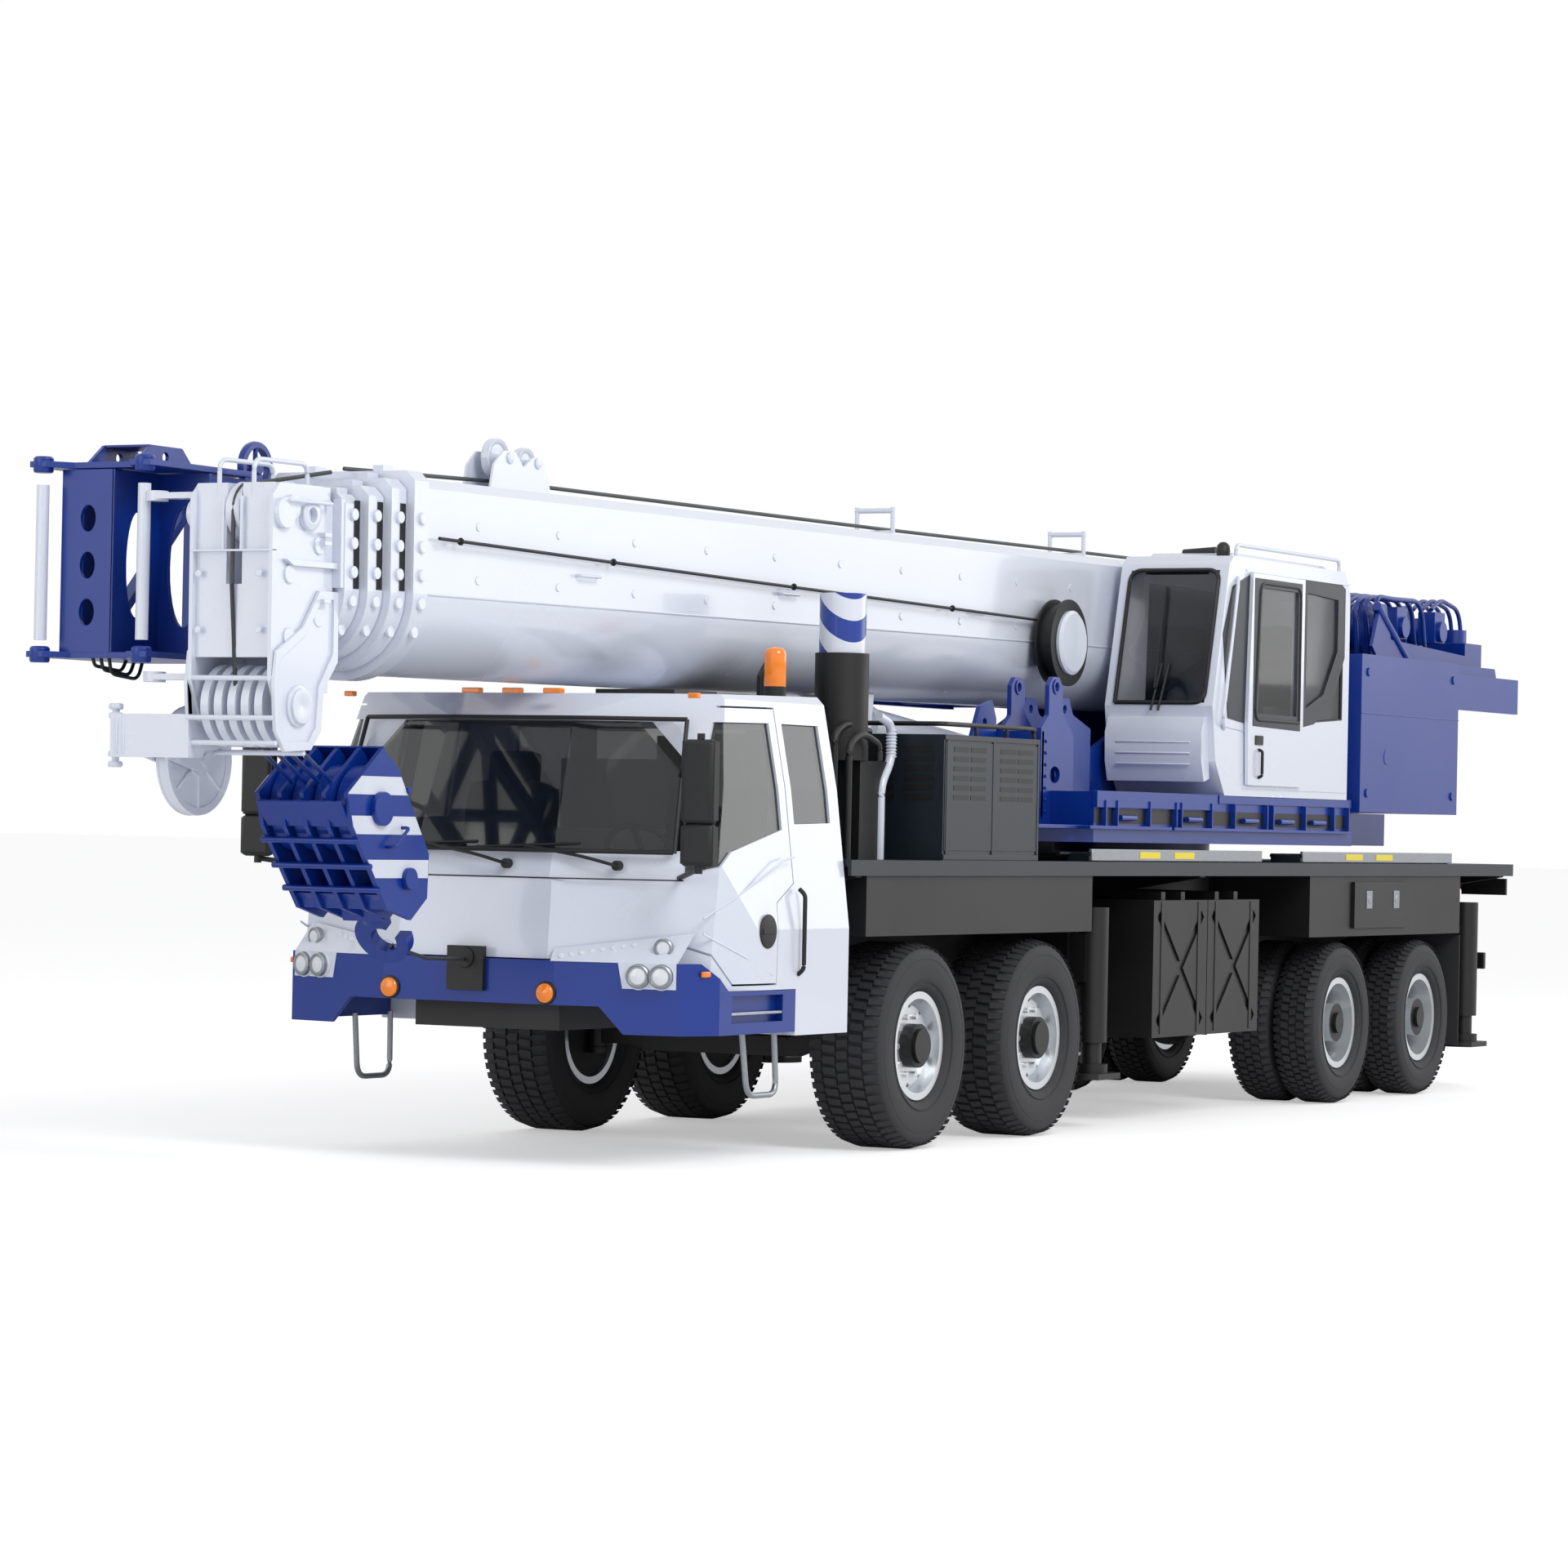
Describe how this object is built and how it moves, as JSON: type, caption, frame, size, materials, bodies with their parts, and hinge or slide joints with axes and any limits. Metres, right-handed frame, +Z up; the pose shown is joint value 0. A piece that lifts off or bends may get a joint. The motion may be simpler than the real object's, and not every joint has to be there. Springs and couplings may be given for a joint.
{
  "type": "truck crane",
  "caption": "Truck crane with a full-width low cab, telescopic boom stowed forward, left operator's cab, counterweight and outriggers, blue and white.",
  "frame": {"origin": "on the ground under the middle of the overall length and width", "axes": "+X forward along the boom, +Y to the left side, +Z up"},
  "size_m": [14.5726, 2.88, 3.7699],
  "materials": {
    "white_paint": "gloss",
    "blue_paint": "gloss",
    "frame_paint": "satin",
    "black_steel": "matte",
    "black_plastic": "matte",
    "cab_trim": "matte",
    "tinted_glass": "gloss",
    "lamp_lens": "gloss",
    "engine_iron": "matte",
    "alloy": "brushed",
    "bright_steel": "polished",
    "tyre_rubber": "matte"
  },
  "bodies": {
    "carrier": {"chassis_frame": "frame_paint", "cab_frame": "frame_paint", "deck": "frame_paint", "axles": "black_steel", "bumper": "blue_paint", "lamps": "lamp_lens", "cab_shell": "white_paint", "cab_glass": "tinted_glass", "cab_interior": "cab_trim", "mirrors": "black_plastic", "engine_block": "engine_iron", "deck_gear": "frame_paint", "side_boxes": "frame_paint"},
    "door_left": {"cab_door_left": "white_paint"},
    "door_right": {"cab_door_right": "white_paint"},
    "steer_1l": {"knuckle_1l": "black_steel"},
    "steer_1r": {"knuckle_1r": "black_steel"},
    "steer_2l": {"knuckle_2l": "black_steel"},
    "steer_2r": {"knuckle_2r": "black_steel"},
    "wheel_1l": {"rim_1l": "alloy", "tyre_1l": "tyre_rubber"},
    "wheel_1r": {"rim_1r": "alloy", "tyre_1r": "tyre_rubber"},
    "wheel_2l": {"rim_2l": "alloy", "tyre_2l": "tyre_rubber"},
    "wheel_2r": {"rim_2r": "alloy", "tyre_2r": "tyre_rubber"},
    "wheel_3l": {"rim_3l": "alloy", "tyre_3l": "tyre_rubber"},
    "wheel_3r": {"rim_3r": "alloy", "tyre_3r": "tyre_rubber"},
    "wheel_4l": {"rim_4l": "alloy", "tyre_4l": "tyre_rubber"},
    "wheel_4r": {"rim_4r": "alloy", "tyre_4r": "tyre_rubber"},
    "beam_fl": {"outrigger_beam_fl": "black_steel"},
    "leg_fl": {"jack_fl": "black_steel"},
    "beam_fr": {"outrigger_beam_fr": "black_steel"},
    "leg_fr": {"jack_fr": "black_steel"},
    "beam_rl": {"outrigger_beam_rl": "black_steel"},
    "leg_rl": {"jack_rl": "black_steel"},
    "beam_rr": {"outrigger_beam_rr": "black_steel"},
    "leg_rr": {"jack_rr": "black_steel"},
    "upper": {"turntable": "blue_paint", "counterweight": "blue_paint", "winches": "blue_paint", "operator_cab": "white_paint", "operator_glass": "tinted_glass", "operator_seat": "cab_trim"},
    "cab_slide": {"operator_door": "white_paint"},
    "boom_1": {"boom_base": "white_paint", "jib": "blue_paint"},
    "boom_2": {"boom_section_2": "white_paint"},
    "boom_3": {"boom_section_3": "white_paint"},
    "boom_4": {"boom_section_4": "white_paint"},
    "boom_5": {"boom_section_5": "white_paint"},
    "barrel": {"lift_barrel": "white_paint"},
    "rod": {"lift_rod": "bright_steel"},
    "block": {"hook_block": "blue_paint"},
    "swivel_hook": {"hook": "blue_paint"}
  },
  "joints": [
    {"name": "door_left_hinge", "type": "hinge", "parent": "carrier", "child": "door_left", "pos_m": [4.86671, 1.232, 1.7], "axis": [0, 0, -1], "range_deg": [0, 70]},
    {"name": "door_right_hinge", "type": "hinge", "parent": "carrier", "child": "door_right", "pos_m": [4.86671, -1.232, 1.7], "axis": [0, 0, 1], "range_deg": [0, 70]},
    {"name": "steer_1l_turn", "type": "hinge", "parent": "carrier", "child": "steer_1l", "pos_m": [2.34371, 0.82, 0.575], "axis": [0, 0, 1], "range_deg": [-35, 35]},
    {"name": "steer_1r_turn", "type": "hinge", "parent": "carrier", "child": "steer_1r", "pos_m": [2.34371, -0.82, 0.575], "axis": [0, 0, 1], "range_deg": [-35, 35]},
    {"name": "steer_2l_turn", "type": "hinge", "parent": "carrier", "child": "steer_2l", "pos_m": [0.80371, 0.82, 0.575], "axis": [0, 0, 1], "range_deg": [-21, 21]},
    {"name": "steer_2r_turn", "type": "hinge", "parent": "carrier", "child": "steer_2r", "pos_m": [0.80371, -0.82, 0.575], "axis": [0, 0, 1], "range_deg": [-21, 21]},
    {"name": "wheel_1l_spin", "type": "hinge", "parent": "steer_1l", "child": "wheel_1l", "pos_m": [2.34371, 1.055, 0.575], "axis": [0, 1, 0], "continuous": true},
    {"name": "wheel_1r_spin", "type": "hinge", "parent": "steer_1r", "child": "wheel_1r", "pos_m": [2.34371, -1.055, 0.575], "axis": [0, 1, 0], "continuous": true},
    {"name": "wheel_2l_spin", "type": "hinge", "parent": "steer_2l", "child": "wheel_2l", "pos_m": [0.80371, 1.055, 0.575], "axis": [0, 1, 0], "continuous": true},
    {"name": "wheel_2r_spin", "type": "hinge", "parent": "steer_2r", "child": "wheel_2r", "pos_m": [0.80371, -1.055, 0.575], "axis": [0, 1, 0], "continuous": true},
    {"name": "wheel_3l_spin", "type": "hinge", "parent": "carrier", "child": "wheel_3l", "pos_m": [-3.88629, 0.9575, 0.538], "axis": [0, 1, 0], "continuous": true},
    {"name": "wheel_3r_spin", "type": "hinge", "parent": "carrier", "child": "wheel_3r", "pos_m": [-3.88629, -0.9575, 0.538], "axis": [0, 1, 0], "continuous": true},
    {"name": "wheel_4l_spin", "type": "hinge", "parent": "carrier", "child": "wheel_4l", "pos_m": [-5.38629, 0.9575, 0.538], "axis": [0, 1, 0], "continuous": true},
    {"name": "wheel_4r_spin", "type": "hinge", "parent": "carrier", "child": "wheel_4r", "pos_m": [-5.38629, -0.9575, 0.538], "axis": [0, 1, 0], "continuous": true},
    {"name": "beam_fl_slide", "type": "slide", "parent": "carrier", "child": "beam_fl", "axis": [0, 1, 0], "range_m": [0, 1.85]},
    {"name": "leg_fl_slide", "type": "slide", "parent": "beam_fl", "child": "leg_fl", "axis": [0, 0, -1], "range_m": [0, 0.55]},
    {"name": "beam_fr_slide", "type": "slide", "parent": "carrier", "child": "beam_fr", "axis": [0, -1, 0], "range_m": [0, 1.85]},
    {"name": "leg_fr_slide", "type": "slide", "parent": "beam_fr", "child": "leg_fr", "axis": [0, 0, -1], "range_m": [0, 0.55]},
    {"name": "beam_rl_slide", "type": "slide", "parent": "carrier", "child": "beam_rl", "axis": [0, 1, 0], "range_m": [0, 1.85]},
    {"name": "leg_rl_slide", "type": "slide", "parent": "beam_rl", "child": "leg_rl", "axis": [0, 0, -1], "range_m": [0, 0.55]},
    {"name": "beam_rr_slide", "type": "slide", "parent": "carrier", "child": "beam_rr", "axis": [0, -1, 0], "range_m": [0, 1.85]},
    {"name": "leg_rr_slide", "type": "slide", "parent": "beam_rr", "child": "leg_rr", "axis": [0, 0, -1], "range_m": [0, 0.55]},
    {"name": "slew", "type": "hinge", "parent": "carrier", "child": "upper", "pos_m": [-2.70629, 0, 1.64], "axis": [0, 0, 1], "continuous": true},
    {"name": "cab_door_slide", "type": "slide", "parent": "upper", "child": "cab_slide", "axis": [-1, 0, 0], "range_m": [0, 0.75]},
    {"name": "boom_lift", "type": "hinge", "parent": "upper", "child": "boom_1", "pos_m": [-4.55629, 0, 3.1], "axis": [0, -1, 0], "range_deg": [0, 80]},
    {"name": "boom_2_slide", "type": "slide", "parent": "boom_1", "child": "boom_2", "axis": [1, 0, -0.0096], "range_m": [0, 7.6]},
    {"name": "boom_3_slide", "type": "slide", "parent": "boom_2", "child": "boom_3", "axis": [1, 0, -0.0096], "range_m": [0, 7.6]},
    {"name": "boom_4_slide", "type": "slide", "parent": "boom_3", "child": "boom_4", "axis": [1, 0, -0.0096], "range_m": [0, 7.6]},
    {"name": "boom_5_slide", "type": "slide", "parent": "boom_4", "child": "boom_5", "axis": [1, 0, -0.0096], "range_m": [0, 7.6]},
    {"name": "barrel_swing", "type": "hinge", "parent": "upper", "child": "barrel", "pos_m": [-2.95629, 0, 1.99], "axis": [0, -1, 0], "range_deg": [0, 84.1]},
    {"name": "rod_slide", "type": "slide", "parent": "barrel", "child": "rod", "axis": [0.9948, 0, 0.102], "range_m": [0, 2.493]},
    {"name": "block_swing", "type": "hinge", "parent": "boom_5", "child": "block", "pos_m": [7.05665, 0, 2.30849], "axis": [0, -1, 0], "range_deg": [-21, 0.5]},
    {"name": "hook_swivel", "type": "hinge", "parent": "block", "child": "swivel_hook", "pos_m": [5.98371, 0, 1.33], "axis": [0.6, 0, 0.8], "continuous": true}
  ],
  "couplings": [
    {"joint": "steer_1r_turn", "follows": "steer_1l_turn", "ratio": 1},
    {"joint": "steer_2l_turn", "follows": "steer_1l_turn", "ratio": 0.6},
    {"joint": "steer_2r_turn", "follows": "steer_1l_turn", "ratio": 0.6},
    {"joint": "barrel_swing", "follows": "boom_lift", "ratio": 1.045},
    {"joint": "rod_slide", "follows": "boom_lift", "m_per_rad": 1.7781},
    {"joint": "block_swing", "follows": "boom_lift", "ratio": -0.25}
  ]
}
